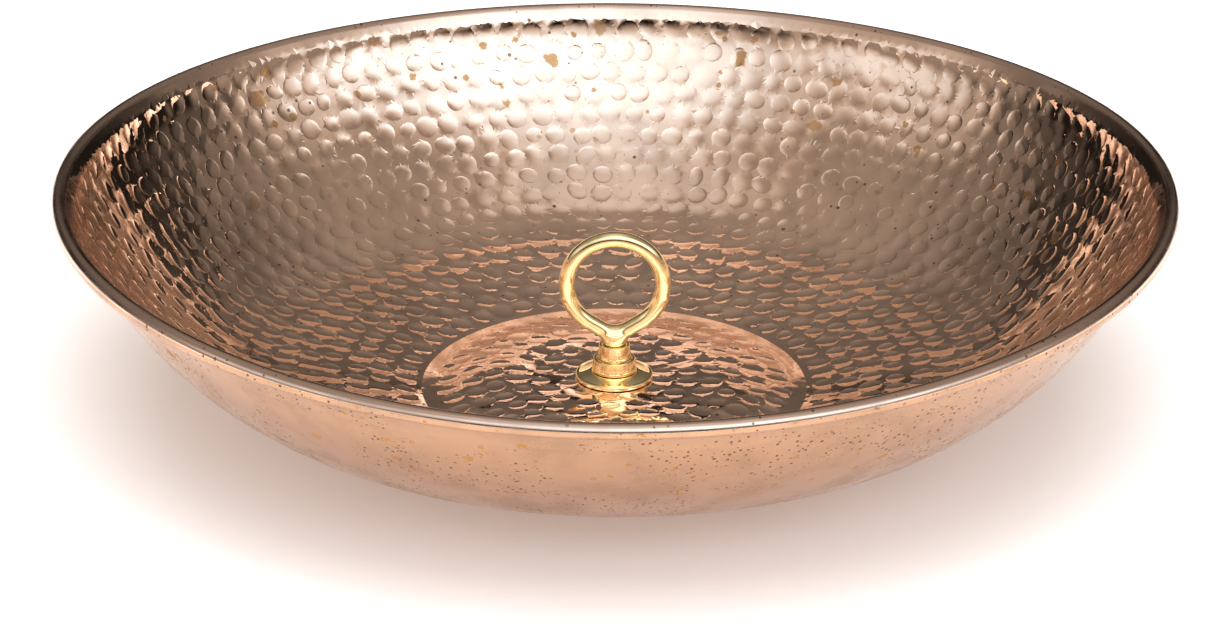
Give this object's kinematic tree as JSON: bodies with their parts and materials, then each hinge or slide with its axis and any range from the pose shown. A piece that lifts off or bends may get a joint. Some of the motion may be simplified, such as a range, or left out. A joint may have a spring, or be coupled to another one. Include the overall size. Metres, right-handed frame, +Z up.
{
  "type": "rain chain basin",
  "caption": "Round hammered copper basin with a wired rolled rim and a brass ring fastened upright to the middle of its floor.",
  "frame": {"origin": "centre of the flat foot ring that the basin stands on", "axes": "+Z up out of the basin, X along the plane of the brass ring, Y through the ring's eye"},
  "size_m": [0.4, 0.4, 0.08],
  "materials": {
    "copper": "polished copper, hammered inside, with light brown tarnish spots",
    "brass": "polished",
    "steel": "plain",
    "rubber": "matt"
  },
  "bodies": {
    "root": {"basin_shell": "copper", "rim_wire": "steel", "flange_cap": "brass", "sealing_gasket": "rubber", "lower_collar": "brass", "upper_collar": "brass", "eye_ring": "brass", "screw_washer": "steel", "clamp_screw": "brass"}
  },
  "joints": []
}
